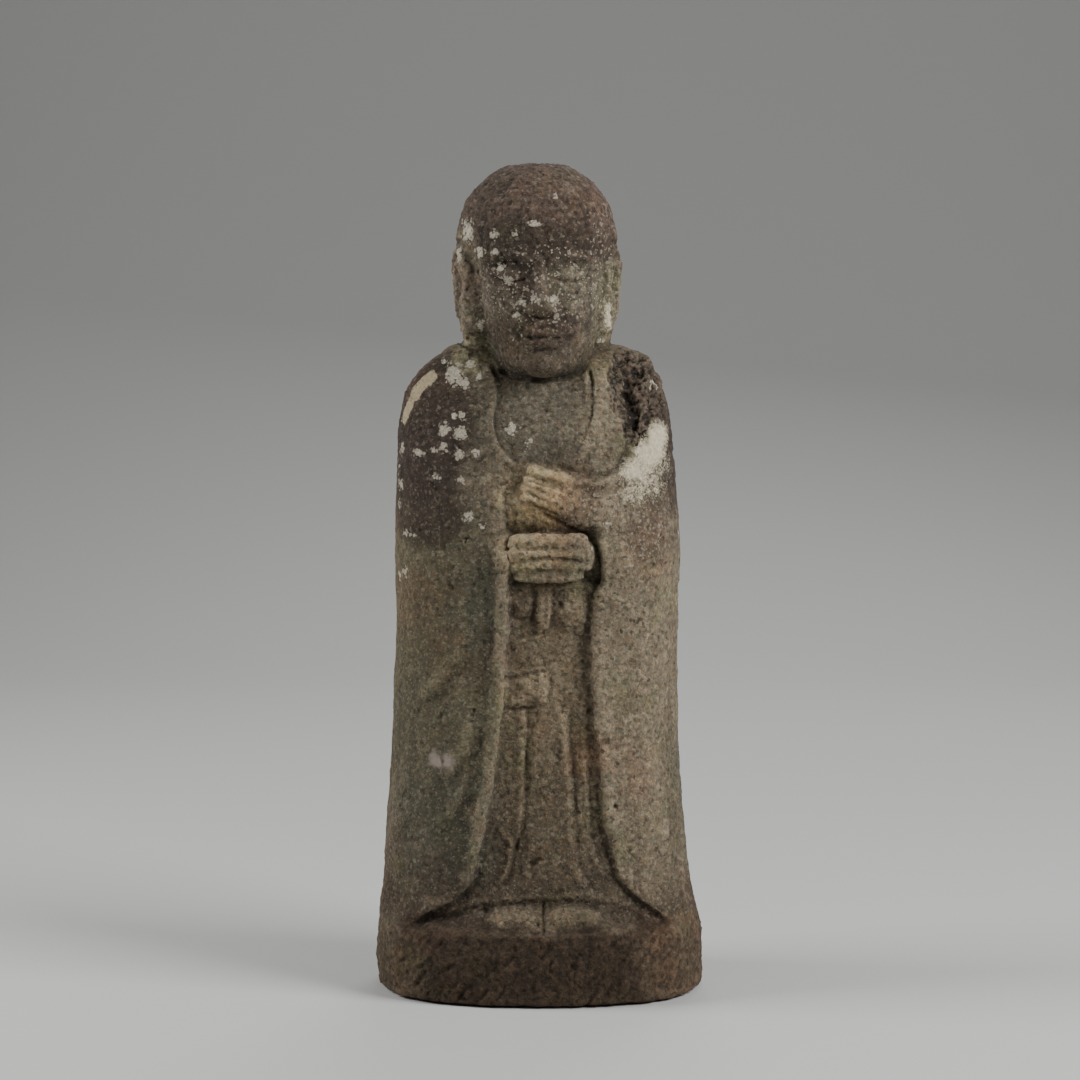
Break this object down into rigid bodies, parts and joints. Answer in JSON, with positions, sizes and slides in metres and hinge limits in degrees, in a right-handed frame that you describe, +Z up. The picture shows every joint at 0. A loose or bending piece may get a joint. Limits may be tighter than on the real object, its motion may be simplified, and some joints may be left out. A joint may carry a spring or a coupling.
{
  "type": "stone jizo statue",
  "caption": "Standing robed monk figure with folded hands, carved in one block of weathered volcanic stone with its low base, as a garden or wayside guardian.",
  "frame": {"origin": "centre of the base's underside box, on the surface the statue stands on", "axes": "+Z up, the figure faces -Y, +X to the right of someone facing it"},
  "size_m": [0.2078, 0.152, 0.52],
  "materials": {
    "stone": "matte"
  },
  "bodies": {
    "root": {"jizo_statue": "stone"}
  },
  "joints": []
}
